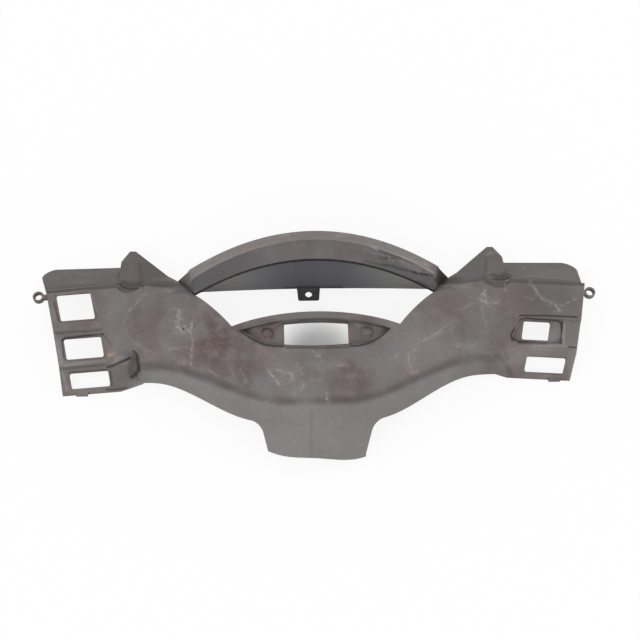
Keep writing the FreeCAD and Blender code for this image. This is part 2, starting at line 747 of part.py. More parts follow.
def pilot(x, y, diameter, foot, depth):
    """Blind screw hole up into a post, with a pointed end."""
    tip = Part.makeCone(diameter / 2.0, 0.0, diameter / 2.0, V(x, y, foot + depth))
    return post(x, y, diameter, foot - 5, foot + depth).fuse(tip)


floor_below = lowered(arm_outer, SILL_SINK)
dimple_below = lowered(arm_outer, SILL_SINK + SILL_DIMPLE)
for hand in (-1, 1):
    x, y = hand * SILL_BOSS_X, SILL_BOSS_Y
    added.append(post(x, y, SILL_BOSS_DIAMETER, FLANGE_DEPTH_Z, ABOVE).common(floor_below))
    drilled.append(post(x, y, SILL_BOSS_DIAMETER - 1.0, FLANGE_DEPTH_Z + 5, ABOVE).cut(dimple_below))
    drilled.append(pilot(x, y, SILL_SCREW_DIAMETER, FLANGE_DEPTH_Z, SILL_SCREW_DEPTH))
    x, y = hand * POST_X, POST_Y
    rib_end = V(x - RIB_LENGTH / 2.0, y - RIB_THICKNESS / 2.0, RIB_FOOT_Z)
    rib = Part.makeBox(RIB_LENGTH, RIB_THICKNESS, ABOVE, rib_end)
    pillar = post(x, y, POST_DIAMETER, POST_FOOT_Z, ABOVE).fuse(rib)
    added.append(pillar.common(arm_outer))
    drilled.append(pilot(x, y, POST_SCREW_DIAMETER, POST_FOOT_Z, POST_SCREW_DEPTH))

cover = shell.fuse(added).cut(drilled).removeSplitter()

# Origin at the middle of the foot of the bounding box

box = cover.optimalBoundingBox(False)
cover.translate(V(-box.Center.x, -box.Center.y, -box.ZMin))

os.makedirs("parts", exist_ok=True)
cover.Solids[0].exportStep("parts/handlebar_cover.step")
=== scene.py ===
import math
from functools import reduce
from types import SimpleNamespace

import bmesh
import bpy
from mathutils import Matrix, Vector
from mathutils.bvhtree import BVHTree


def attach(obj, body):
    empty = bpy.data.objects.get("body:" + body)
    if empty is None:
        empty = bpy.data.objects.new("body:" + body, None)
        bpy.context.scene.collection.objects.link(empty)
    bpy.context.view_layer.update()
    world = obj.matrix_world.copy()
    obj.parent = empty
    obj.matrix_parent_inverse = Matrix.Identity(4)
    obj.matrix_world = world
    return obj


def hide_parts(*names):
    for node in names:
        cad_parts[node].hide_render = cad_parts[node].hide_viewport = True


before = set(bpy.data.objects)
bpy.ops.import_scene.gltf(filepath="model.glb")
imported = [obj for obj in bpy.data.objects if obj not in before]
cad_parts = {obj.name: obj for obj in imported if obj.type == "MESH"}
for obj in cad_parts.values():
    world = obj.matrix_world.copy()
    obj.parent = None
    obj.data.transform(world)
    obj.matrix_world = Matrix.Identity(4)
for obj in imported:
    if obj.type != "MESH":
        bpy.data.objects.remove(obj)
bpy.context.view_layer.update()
cover_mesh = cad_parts["handlebar_cover"].data
cover_skin = BVHTree.FromPolygons(
    [corner.co for corner in cover_mesh.vertices], [face.vertices for face in cover_mesh.polygons])

MM = 0.001

# Middle of the cover, in millimetres of the part's frame
MIDDLE_X = -1.09
MIDDLE_Y = 13.62

# Viewpoint of the photograph, in degrees and millimetres of the part's frame
IMAGE_SIDE = 640
VIEW_TURN = -5.16
VIEW_HEIGHT = 68.0
VIEW_ROLL = 3.93
VIEW_TARGET = Vector((MIDDLE_X, MIDDLE_Y, 45.0))
VIEW_DISTANCE = 1000.0
FOCAL_PIXELS = 1307.0
CENTRE_PIXEL = 315.47
SENSOR_WIDTH = 36.0

# Light: the sky's strength, and each lamp's name, turn from the near side, height and strength
SKY_STRENGTH = 0.6
LAMP_SOFTNESS = 60.0
LAMPS = [
    ("front_light", -25.0, 58.0, 1.15),
    ("low_light", 12.0, 24.0, 0.3),
    ("back_light", 160.0, 60.0, 0.3),
]

# Places on the cover that its finish follows, in millimetres and degrees of the part's frame
HOOD_HALF = 98.0
RIM_Y = 42.0 + MIDDLE_Y
RIM_SWEEP = 21.7
RIM_TOP = 66.0
RIM_FALL = 22.2
LIP_HALF = 2.4
CREST_Y = 56.4 + MIDDLE_Y
CREST_SWEEP = 26.0
RIM_BAND = 15.0
RIDGE_Y = 34.0 + MIDDLE_Y
HOUSING_SWEEP = 4.0
CREASE_MIDDLE_Y = -67.0 + MIDDLE_Y
CREASE_LEFT_Y = -32.1 + MIDDLE_Y
CREASE_RIGHT_Y = -30.1 + MIDDLE_Y
RIGHT_END_X = 207.2
END_YAW = 10.4
ARM_SLANT = 24.0
HOUSING_START = 128.0
MOULD_LINE_X = -6.0

# Stretches over which parts of the finish come in or go out, in millimetres of the part's frame
HOOD_FOOT = (44.0, 49.0)
HOOD_NEAR = (34.0, 40.0)
HOUSING_SIDE = (100.0, 112.0)
RIDGE_SIDE = (118.0, 126.0)
RIDGE_SHADE = (11.0, 1.0)
LEFT_PLATES = (-138.0, -146.0)
PLATES_NEAR = (-26.0, -22.0)
CREASE_SWING = (20.0, HOUSING_START)
CREASE_TURN = (-60.0, 60.0)
SKIRT_END = (150.0, 134.0)
RIGHT_SKIRT = (95.0, 125.0)
FRONT_ENDS = (20.0, 75.0)
CEILING_NEAR = (42.0, 46.0)
CEILING_TOP = (64.0, 62.0)
CEILING_SIDE = (15.0, 80.0)
LIP_END = (100.0, 94.0)
STREAKS_BEGIN = (35.0, 65.0)
STREAKS_END = (150.0, HOUSING_START)
STREAKS_FAR = (42.0, 36.0)
CORNERS_NEAR = (41.5, 44.5)
TAB_TOP = (24.5, 23.5)
TAB_NEAR = (38.0, 39.0)
TAB_FAR = (51.5, 50.5)
TAB_SIDE = (24.0, 22.0)

# Mesh points this near, in millimetres, become one, and edges that turn by more degrees stay sharp
MERGE_GAP = 0.01
SHARP_ANGLE = 22.0

# Sizes of the patterns in the finish, in millimetres
CLOUD_SIZE = 46.0
PATCH_SIZE = 21.0
BLOTCH_SIZE = 11.0
SPECK_SIZE = 3.2
GRAIN_SIZE = 0.7
STREAK_WIDTH = 1.6
STREAK_STRETCH = 26.0
SCUFF_SIZE = 9.0
CHIP_SIZE = 2.6
BREAK_SIZE = 2.4
SMEAR_SIZE = 5.0
DRIFT_SIZE = 5.0
DRIFT_REACH = 1.5
SHADE_REACH = 7.0
BUMP_HEIGHT = 0.4

# How strongly each part of the finish shows, from 0 to 1
PINK_SHOWS = 0.6
FAR_SHADE_SHOWS = 0.62
RIDGE_SHOWS = 0.5
RISER_SHOWS = 0.6
SKIRT_LIGHT_SHOWS = 0.55
RIGHT_SKIRT_LOSES = 0.4
CREASE_SHADE_SHOWS = 0.5
MOULD_LINE_SHOWS = 0.16
FRONT_BAND_SHOWS = 0.4
FRONT_ENDS_GAIN = 0.5
BEVEL_SHOWS = 0.55
STREAKS_SHOW = 0.17
HOLLOW_SHADE_SHOWS = 0.7
SHADE_LINES_SHOW = 0.85
LIP_SHADE_SHOWS = 0.95
SCRATCHES_SHOW = 0.9
SMUDGES_SHOW = 0.32
CHIPS_SHOW = 0.5
SCUFFS_SHOW = 0.28
WEAR_AND_HIGHLIGHTS_SHOW = 0.85
END_LIP_SHOWS = 0.35

# Share of a stroke's half width, and of a patch's reach, that has its full strength
STROKE_CORE = 0.3
PATCH_CORE = 0.25

PLASTIC_SPECULAR = 0.3
CARD_SPECULAR = 0.1
CARD_ROUGHNESS = 0.8


def linear(red, green, blue):
    """Colour as seen on a screen, 0 to 255, as the linear colour a shader takes."""
    parts = [c / 255.0 for c in (red, green, blue)]
    parts = [c / 12.92 if c <= 0.04045 else ((c + 0.055) / 1.055) ** 2.4 for c in parts]
    return (*parts, 1.0)


GREY_PLASTIC = linear(116, 113, 112)
BROWN_PLASTIC = linear(105, 95, 94)
PINK_PLASTIC = linear(129, 120, 119)
# Pale plastic, also used as painted light on the skirt
PALE_PLASTIC = linear(129, 128, 128)
FRESH_PLASTIC = linear(56, 56, 58)
# Inner face of the hood, lightened as painted light, and lighter still towards its ends
CEILING_PLASTIC = linear(98, 97, 103)
CEILING_ENDS_LIT = linear(146, 146, 143)
STAINED_PLASTIC = linear(90, 76, 74)
DULL_PLASTIC = linear(78, 76, 78)
# Painted shade for the sides that face away from the lamps
FAR_SIDE_SHADE = linear(84, 77, 77)
CHALKY_PLASTIC = linear(140, 134, 131)
# Grime, also used as painted shade along the ridge, on the risers, in the crease and in hollows
GRIME_AND_SHADE = linear(56, 51, 50)
RUST_STAIN = linear(165, 136, 110)
SCUFFED_AND_HIGHLIT = linear(178, 168, 163)
# Black of pits, also used for painted shade in the dark lines, on the hood's lip and in its corners
PIT_AND_SHADE_BLACK = linear(34, 31, 31)
CARD_WHITE = (0.94, 0.94, 0.935, 1.0)
WHITE = (1.0, 1.0, 1.0, 1.0)

# Half the floor's side in metres, how much of its shade the camera loses, and where it keeps it all
FLOOR_HALF = 6.0
FLOOR_LIFT = 0.87
DEEP_SHADE = ((2.0, 4.0, 0.0), 42.0, FLOOR_LIFT)


class Value:
    """A socket of a node tree; arithmetic on it adds Math nodes."""

    def __init__(self, tree, socket):
        self.tree = tree
        self.socket = socket

    def node(self, kind, settings=None, inputs=None, output=0):
        """Adds a node of a kind, sets it up, feeds its sockets and gives one of its outputs."""
        made = self.tree.nodes.new(kind)
        for name, setting in (settings or {}).items():
            setattr(made, name, setting)
        for key, value in (inputs or {}).items():
            if isinstance(value, Value):
                self.tree.links.new(value.socket, made.inputs[key])
            else:
                made.inputs[key].default_value = value
        return Value(self.tree, made.outputs[output])

    def maths(self, operation, *values):
        return self.node("ShaderNodeMath", {"operation": operation}, dict(enumerate(values)))

    def vector(self, operation, *values, output=0):
        return self.node("ShaderNodeVectorMath", {"operation": operation}, dict(enumerate(values)), output)

    def __add__(self, other):
        return self.maths("ADD", self, other)

    def __radd__(self, other):
        return self.maths("ADD", other, self)

    def __sub__(self, other):
        return self.maths("SUBTRACT", self, other)

    def __rsub__(self, other):
        return self.maths("SUBTRACT", other, self)

    def __mul__(self, other):
        return self.maths("MULTIPLY", self, other)

    def __rmul__(self, other):
        return self.maths("MULTIPLY", other, self)

    def __truediv__(self, other):
        return self.maths("DIVIDE", self, other)

    def __rtruediv__(self, other):
        return self.maths("DIVIDE", other, self)

    def __neg__(self):
        return self.maths("MULTIPLY", self, -1.0)

    def __abs__(self):
        return self.maths("ABSOLUTE", self)

    def over(self, other):
        """The larger of two masks."""
        return self.maths("MAXIMUM", self, other)

    def under(self, other):
        """The smaller of two values."""
        return self.maths("MINIMUM", self, other)

    def rise(self, low, high):
        """Smooth rise from 0 at low to 1 at high; low may be the larger."""
        sockets = {"Value": self, "From Min": low, "From Max": high}
        return self.node("ShaderNodeMapRange", {"interpolation_type": "SMOOTHSTEP"}, sockets)

    def tint(self, under, colour):
        """Colour laid over another where this mask is 1; a Mix node's colours go by number."""
        sockets = {0: self, 6: under, 7: colour}
        return self.node("ShaderNodeMix", {"data_type": "RGBA"}, sockets, 2)

    def noise(self, size, detail=3.0, roughness=0.55):
        """Cloudy pattern, 0 to 1, on this vector in millimetres, with clouds of about that size."""
        sockets = {"Vector": self, "Scale": 1.0 / size, "Detail": detail, "Roughness": roughness}
        return self.node("ShaderNodeTexNoise", None, sockets)

    def parts(self):
        return [self.node("ShaderNodeSeparateXYZ", None, {0: self}, i) for i in range(3)]

    def joined(self, *parts):
        return self.node("ShaderNodeCombineXYZ", None, dict(enumerate(parts)))


def new_material(name):
    """Empty material, its Principled shader and a starting value for expressions."""
    material = bpy.data.materials.new(name)
    material.use_nodes = True
    shader = material.node_tree.nodes["Principled BSDF"]
    start = Value(material.node_tree, shader.outputs[0])
    return material, shader, start


def feed(shader, **sockets):
    """Links values into the shader's sockets, named with underscores for spaces."""
    for name, value in sockets.items():
        value.tree.links.new(value.socket, shader.inputs[name.replace("_", " ")])


# Wear marks: the pixels of the photograph each passes through, half its width in millimetres
# and its strength
SCRATCHES = [
    ([(145, 294), (136, 304), (127, 313)], 0.5, 0.5),
    ([(127, 313), (124, 325), (128, 337), (145, 350)], 0.5, 0.2),
    ([(171.9, 309.4), (178.8, 310.6), (182.5, 318.8)], 0.7, 0.55),
    ([(177.5, 312.5), (178.8, 318.8), (176.9, 326.3), (183.8, 332.5)], 0.8, 0.7),
    ([(173.8, 321.3), (178.8, 326.9), (181.3, 330)], 0.6, 0.5),
    ([(184.4, 326.3), (190, 331.3), (191.9, 322.5)], 0.7, 0.65),
    ([(190.6, 331.3), (192.8, 342.5), (191.9, 352.5), (190.6, 365)], 0.5, 0.55),
    ([(168.1, 349.4), (180.6, 348.1), (188.8, 346.9)], 0.4, 0.35),
    ([(175, 365.6), (185, 361.9)], 0.6, 0.25),
    ([(72, 272), (88, 275)], 0.6, 0.3),
    ([(267.5, 370), (272, 376), (278.8, 383.1)], 0.6, 0.6),
    ([(267.5, 370), (278.8, 370.6), (290, 373.1), (293.8, 379.4)], 0.6, 0.55),
    ([(296.9, 363.8), (301.9, 375)], 0.5, 0.4),
    ([(311.9, 351.3), (320, 356.3)], 0.5, 0.45),
    ([(296.3, 392.5), (303.8, 385.6)], 1.3, 0.4),
    ([(301.3, 382.5), (320, 379.4)], 0.6, 0.35),
    ([(335, 365), (347, 365.5)], 0.7, 0.5),
    ([(327, 393), (327, 401)], 0.8, 0.8),
    ([(208, 370), (219, 376)], 0.8, 0.3),
    ([(240, 370), (247.5, 382.5)], 0.6, 0.3),
    ([(230, 370), (235, 377)], 0.6, 0.3),
    ([(390, 360), (398, 354)], 0.5, 0.4),
    ([(418.6, 374.3), (412.9, 372.1), (409.3, 363.5), (408.6, 354.3), (414.3, 350)], 0.9, 0.45),
    ([(412.9, 361.4), (414.3, 357.1)], 0.6, 0.5),
    ([(418.6, 342.9), (432, 336), (445.7, 327.1)], 0.6, 0.4),
    ([(430, 337.1), (450, 330)], 0.5, 0.35),
    ([(484.3, 290.7), (479.3, 300), (485.7, 300.7), (484.3, 290.7)], 1.0, 0.65),
    ([(485.7, 302.9), (497.1, 302.9)], 0.7, 0.5),
    ([(505, 284.3), (505, 290.7)], 0.6, 0.4),
    ([(461.4, 310), (473.6, 302.9)], 0.5, 0.35),
    ([(480.7, 307.1), (482.9, 315.7), (487.1, 327.1)], 0.5, 0.3),
    ([(454.3, 345.7), (474.3, 345.7)], 1.0, 0.3),
    ([(525.7, 297.9), (532.1, 298.6)], 0.6, 0.25),
    ([(529.3, 280), (534.3, 288.6), (540.7, 297.1), (555, 305)], 0.6, 0.55),
    ([(555, 305), (560, 310.7)], 0.7, 0.6),
    ([(554.3, 311.4), (560.7, 306.4), (574.3, 299.3)], 0.5, 0.5),
    ([(488.6, 253.6), (494.3, 251.4)], 1.0, 0.5),
    ([(489.3, 273.6), (491.4, 278.6)], 0.8, 0.45),
    ([(520, 271.4), (525.7, 266.4)], 0.6, 0.3),
    ([(424.5, 262.5), (427, 265)], 0.9, 0.6),
    ([(432, 273), (435, 276)], 0.9, 0.5),
    ([(282, 236), (300, 233)], 0.7, 0.4),
    ([(338, 236), (343, 233)], 0.9, 0.65),
    ([(372, 246), (378, 249)], 0.9, 0.5),
    ([(212, 258), (205, 261)], 0.8, 0.45),
    ([(388, 258), (404, 264), (420, 272)], 0.6, 0.4),
    ([(365, 250), (405, 262)], 0.5, 0.3),
    ([(405, 263), (432, 276)], 0.6, 0.35),
]

# Dark lines of painted shade in the steps, frames and feet, given the same way
SHADE_LINES = [
    ([(56, 333), (70, 332), (90, 331), (101, 329.5)], 1.1, 0.45),
    ([(62, 369.5), (104, 364.5)], 1.0, 0.3),
    ([(120, 284), (124, 287.5), (130, 289), (137, 288.5), (143, 286)], 0.8, 0.8),
    ([(123, 282.5), (131, 286), (141, 283)], 4.0, 0.4),
    ([(491, 275), (500, 277.5), (508, 274.5)], 4.0, 0.4),
    ([(139.5, 264), (142, 281)], 2.0, 0.22),
    ([(54, 303), (58.5, 320)], 0.6, 0.6),
    ([(62, 341), (65, 338.3), (80, 336.3), (103, 334.3)], 0.6, 0.95),
    ([(62, 341), (64, 358)], 0.5, 0.6),
    ([(103, 334.5), (111.5, 345)], 0.5, 0.3),
    ([(108, 367), (112, 366), (120, 362.5), (130, 358)], 1.1, 0.95),
    ([(134.5, 352), (137, 357), (138, 363), (138.5, 370), (135.5, 374), (132, 377)], 2.0, 0.95),
    ([(131.5, 361), (131.5, 369), (132, 375)], 3.5, 0.45),
    ([(110.5, 372), (112, 385)], 0.5, 0.6),
    ([(107, 389.5), (116, 389.5), (126, 388)], 1.0, 0.7),
    ([(94.5, 269.4), (99.5, 269.2)], 0.5, 0.7),
    ([(492, 279), (500, 280), (506, 278.6), (511, 276.6)], 0.8, 0.8),
    ([(486, 258), (485, 277)], 2.0, 0.22),
    ([(520, 315.5), (548, 315.7), (576.5, 317)], 0.5, 0.9),
    ([(512, 339), (511, 335), (513, 331), (521, 319.2), (524, 318.2), (557, 320.6), (561, 322.5),
      (562, 330), (561, 343)], 0.6, 0.95),
    ([(512, 339), (518, 341), (546, 343.5)], 0.6, 0.55),
    ([(569, 347), (576, 347.5)], 0.5, 0.8),
    ([(540, 373), (562, 374.6)], 0.5, 0.4),
    ([(496, 355), (501, 358), (505, 363), (509, 370), (511, 375)], 2.5, 0.3),
    ([(501.5, 344), (508, 360)], 1.8, 0.25),
    ([(413, 272), (420, 273.6), (432, 275.6)], 0.9, 0.85),
    ([(383, 265), (392, 266), (400, 269), (412, 271.2)], 0.8, 0.55),
    ([(366, 261.5), (383, 265.5)], 0.7, 0.35),
    ([(379, 249.5), (390, 254), (400, 258), (380, 257.6)], 1.2, 0.5),
    ([(417, 281), (434, 288)], 0.8, 0.4),
    ([(240, 330.4), (248, 336.4), (256, 341), (264, 344.6), (274, 346), (283, 346.4)], 0.6, 0.9),
    ([(241, 330), (252, 328), (265, 325), (282, 321)], 0.6, 0.5),
    ([(282.6, 323), (284, 345)], 0.4, 0.6),
    ([(262, 331), (264, 329), (268, 328.4), (272, 330.5), (273.5, 334), (271, 338)], 1.0, 0.45),
    ([(389.5, 328.8), (385, 333), (380, 337), (374, 340.6), (366, 344), (358, 345.8),
      (351, 346)], 0.6, 0.9),
    ([(353, 321.6), (372, 325), (388, 328.4)], 0.6, 0.45),
    ([(349, 322), (350.6, 345)], 0.4, 0.6),
    ([(366, 328), (370, 327.6), (373, 330), (373.2, 333.5), (370, 336.5)], 1.0, 0.55),
    ([(286, 347.6), (318, 348), (349, 347.2)], 0.5, 0.6),
    ([(300, 320.2), (318, 319.4), (350, 321.2)], 0.6, 0.4),
]

# Painted highlights along edges, given the same way
EDGE_HIGHLIGHTS = [
    ([(506, 281), (515, 277.8), (530, 276.4), (560, 278.4), (580, 281)], 0.7, 0.5),
    ([(48, 290.3), (90, 286.6), (104, 285.2), (118, 286)], 0.7, 0.45),
    ([(57, 294), (88, 290.2), (91.5, 292.5), (96.5, 311)], 0.6, 0.35),
    ([(55, 335), (61, 362), (64, 378), (67, 390)], 1.2, 0.35),
    ([(64, 365.5), (104, 360)], 1.0, 0.3),
    ([(374, 247), (396, 255), (410, 259.6), (424, 264.6)], 0.7, 0.4),
    ([(402, 262.5), (425, 268.6), (434, 273)], 0.7, 0.35),
    ([(524, 345.4), (566, 346)], 0.6, 0.3),
    ([(564.5, 323), (563.4, 343)], 0.8, 0.35),
]
RUST_MARKS = [([(109, 354.8), (114.5, 353.6)], 1.5, 0.75)]

# Stained, pale, dull and shaded patches and pits: middle, reach in millimetres and strength
BROWN_PATCHES = [
    ((-75.0, -5.0, 52.0), 37.0, 1.0),
    ((-38.0, 0.6, 53.0), 18.0, 0.7),
    ((36.0, 0.6, 53.0), 18.0, 0.7),
    ((-58.8, -30.0, 51.7), 26.0, 0.8),
    ((23.0, -38.0, 55.4), 24.0, 0.8),
    ((0.0, -24.0, 58.0), 30.0, 0.5),
    ((115.8, 1.2, 44.7), 12.0, 0.6),
    ((-135.0, 20.0, 42.0), 26.0, 0.45),
    ((0.0, 70.0, 68.0), 40.0, 0.35),
    ((-185.0, 58.0, 18.0), 40.0, 0.6),
]
PALE_PATCHES = [((75.0, -18.0, 50.0), 30.0, 0.5), ((152.0, -12.0, 23.5), 20.0, 0.8)]
DULL_PATCHES = [((181.0, 33.0, 40.5), 32.0, 0.5)]
# Painted shade in the corners under the hood's ends
SHADED_CORNERS = [((102.0, 47.5, 39.0), 24.0, 0.9), ((-115.0, 47.0, 40.0), 17.0, 0.7)]
PITS = [((-101.8, 6.4, 48.8), 1.3, 0.9)]


def outward(turn, height):
    """Direction from the part at a turn from its near side and a height, in degrees."""
    a, e = math.radians(turn), math.radians(height)
    return Vector((math.sin(a) * math.cos(e), -math.cos(a) * math.cos(e), math.sin(e)))


def view_axes():
    """Directions to the right of the photograph, up it and back to its camera."""
    turn, roll = math.radians(VIEW_TURN), math.radians(VIEW_ROLL)
    back = outward(VIEW_TURN, VIEW_HEIGHT)
    level = Vector((math.cos(turn), math.sin(turn), 0.0))
    upright = back.cross(level)
    right = math.cos(roll) * level + math.sin(roll) * upright
    up = math.cos(roll) * upright - math.sin(roll) * level
    return right, up, back


def on_cover(column, row):
    """Point of the cover, in millimetres, that the photograph shows at a pixel."""
    right, up, back = view_axes()
    eye = (VIEW_TARGET + back * VIEW_DISTANCE) * MM
    ray = right * (column - CENTRE_PIXEL) + up * (IMAGE_SIDE / 2.0 - row) - back * FOCAL_PIXELS
    place, _, _, _ = cover_skin.ray_cast(eye, ray.normalized())
    return place / MM


def from_run(place, a, b):
    """Distance in millimetres from the straight run between two points."""
    run = b - a
    offset = place.vector("SUBTRACT", place, a)
    share = offset.vector("DOT_PRODUCT", offset, run / run.length_squared, output="Value")
    share = share.node("ShaderNodeClamp", None, {0: share})
    foot = share.node("ShaderNodeVectorMath", {"operation": "SCALE"}, {0: run, 3: share})
    return offset.vector("DISTANCE", offset, foot, output="Value")


def from_path(place, path):
    """Distance in millimetres from a path of straight runs, given by pixels of the photograph."""
    points = [on_cover(*pixel) for pixel in path]
    return reduce(Value.under, [from_run(place, a, b) for a, b in zip(points, points[1:])])


def strokes(place, lines, *fades):
    """Masks along paths, one for each fade: how many half widths it spreads, and its soft edge."""
    gaps = [from_path(place, path) for path, half_width, strength in lines]
    masks = []
    for spread, edge in fades:
        marks = [gap.rise(half_width * spread + edge, half_width * STROKE_CORE) * strength
                 for gap, (path, half_width, strength) in zip(gaps, lines)]
        masks.append(reduce(Value.over, marks))
    return masks


def patch(place, middle, reach, strength):
    """Soft round mask about a point."""
    gap = place.vector("DISTANCE", place, Vector(middle), output="Value")
    return gap.rise(reach, reach * PATCH_CORE) * strength


def patched(place, patches):
    """Mask of several soft round patches."""
    return reduce(Value.over, [patch(place, *one) for one in patches])


def in_millimetres(start):
    """Place on the object in millimetres of the part's frame."""
    metres = start.node("ShaderNodeTexCoord", output="Object")
    return start.node("ShaderNodeVectorMath", {"operation": "SCALE"}, {0: metres, 3: 1.0 / MM})


def survey(start):
    """What the finish goes by: place, facing, clouds of three sizes and places on the hood."""
    place = in_millimetres(start)
    x, y, z = place.parts()
    _, away, upward = start.node("ShaderNodeTexCoord", output="Normal").parts()
    side = abs(x - MIDDLE_X)
    bow = (side / HOOD_HALF) * (side / HOOD_HALF)
    return SimpleNamespace(
        place=place, x=x, y=y, z=z, away=away, toward=-away, upward=upward, side=side, bow=bow,
        clouds=place.noise(CLOUD_SIZE, 4.0),
        patches=place.noise(PATCH_SIZE, 4.0),
        specks=place.noise(SPECK_SIZE, 5.0, 0.65),
        behind_crest=y - CREST_Y + CREST_SWEEP * bow,
        on_hood=z.rise(*HOOD_FOOT) * y.rise(*HOOD_NEAR))


def faded(spot):
    """Cloudy faded plastic with stained, pale and dull patches."""
    colour = spot.clouds.rise(0.36, 0.66).tint(GREY_PLASTIC, BROWN_PLASTIC)
    colour = (spot.patches.rise(0.5, 0.72) * PINK_SHOWS).tint(colour, PINK_PLASTIC)
    blotches = spot.place.noise(BLOTCH_SIZE, 4.0).rise(0.3, 0.62)
    colour = (patched(spot.place, BROWN_PATCHES) * blotches).tint(colour, STAINED_PLASTIC)
    colour = patched(spot.place, PALE_PATCHES).tint(colour, PINK_PLASTIC)
    return patched(spot.place, DULL_PATCHES).tint(colour, DULL_PLASTIC)


def housing_shade(spot, colour):
    """Painted shade: darker far sides, darkest along the ridge, and dark risers between the left plates.
    """
    far_side = spot.away.rise(0.3, 0.6) * spot.side.rise(*HOUSING_SIDE)
    colour = (far_side * FAR_SHADE_SHOWS).tint(colour, FAR_SIDE_SHADE)
    sweep = math.tan(math.radians(HOUSING_SWEEP))
    past_ridge = spot.y - RIDGE_Y + (spot.side - HOUSING_START) * sweep
    along_ridge = past_ridge.rise(*RIDGE_SHADE) * far_side * spot.side.rise(*RIDGE_SIDE)
    colour = (along_ridge * RIDGE_SHOWS).tint(colour, GRIME_AND_SHADE)
    risers = spot.toward.rise(0.86, 0.95) * spot.x.rise(*LEFT_PLATES) * spot.y.rise(*PLATES_NEAR)
    return (risers * RISER_SHOWS).tint(colour, GRIME_AND_SHADE)


def skirt_light_and_shade(spot, colour):
    """Painted light on the skirt below the crease, and painted shade in the crease."""
    swing = spot.side.rise(*CREASE_SWING)
    arm_crease = CREASE_LEFT_Y + (CREASE_RIGHT_Y - CREASE_LEFT_Y) * spot.x.rise(*CREASE_TURN)
    below = CREASE_MIDDLE_Y + (arm_crease - CREASE_MIDDLE_Y) * swing - spot.y
    on_arms = spot.side.rise(*SKIRT_END)
    paler = SKIRT_LIGHT_SHOWS - spot.x.rise(*RIGHT_SKIRT) * RIGHT_SKIRT_LOSES
    # Painted light: the skirt below the crease is paler, less so on the right
    colour = (below.rise(0.0, 4.0) * on_arms * paler).tint(colour, PALE_PLASTIC)
    # Painted shade along the crease
    crease = abs(below + 0.5).rise(4.5, 0.0) * on_arms * spot.patches.rise(0.2, 0.6)
    colour = (crease * CREASE_SHADE_SHOWS).tint(colour, GRIME_AND_SHADE)
    mould_line = abs(spot.x - MOULD_LINE_X).rise(1.6, 0.2) * below.rise(3.0, 8.0)
    return (mould_line * MOULD_LINE_SHOWS).tint(colour, GRIME_AND_SHADE)


def hood_tones(spot, colour):
    """A duller front band, a chalky bevel and an inner face that never saw the sun, with painted light:
    lightened against its shade, and lighter towards the ends.
    """
    before_crest = spot.behind_crest.rise(0.4, -0.4)
    front_band = before_crest * spot.behind_crest.rise(-RIM_BAND - 4.0, -RIM_BAND) * spot.on_hood
    duller = FRONT_BAND_SHOWS + spot.side.rise(*FRONT_ENDS) * FRONT_ENDS_GAIN
    colour = (front_band * duller).tint(colour, DULL_PLASTIC)
    bevel = spot.behind_crest.rise(-0.4, 0.4) * spot.on_hood
    colour = (bevel * BEVEL_SHOWS).tint(colour, CHALKY_PLASTIC)
    # Painted light on the inner face, lighter towards the ends
    ceiling = spot.toward.rise(0.7, 0.85) * spot.y.rise(*CEILING_NEAR) * spot.z.rise(*CEILING_TOP)
    return ceiling.tint(colour, spot.side.rise(*CEILING_SIDE).tint(CEILING_PLASTIC, CEILING_ENDS_LIT))


def hood_lip_shade(spot):
    """Mask of painted shade on the turned-down lip along the hood's rim."""
    at_rim = abs(spot.y - RIM_Y + RIM_SWEEP * spot.bow).rise(3.2, 1.8)
    on_lip = abs(spot.z - RIM_TOP + LIP_HALF + RIM_FALL * spot.bow).rise(3.4, 2.0)
    return at_rim * on_lip * spot.toward.rise(0.45, 0.7) * spot.side.rise(*LIP_END)


def streaked(spot, colour):
    """Faint streaks along the arms, and fine specks all over."""
    slant = math.radians(ARM_SLANT)
    run = spot.side * math.cos(slant) + spot.y * math.sin(slant)
    over = spot.y * math.cos(slant) - spot.side * math.sin(slant)
    streaks = spot.place.joined(run / STREAK_STRETCH, over, spot.z).noise(STREAK_WIDTH, 4.0, 0.6)
    streaks = streaks.rise(0.52, 0.78) * spot.clouds.rise(0.3, 0.6) * spot.upward.rise(0.0, 0.3)
    on_arms = spot.side.rise(*STREAKS_END) * spot.side.rise(*STREAKS_BEGIN) * spot.y.rise(*STREAKS_FAR)
    colour = (streaks * on_arms * STREAKS_SHOW).tint(colour, SCUFFED_AND_HIGHLIT)
    return ((spot.specks - 0.5) * 0.35 + 0.08).tint(colour, GRIME_AND_SHADE)


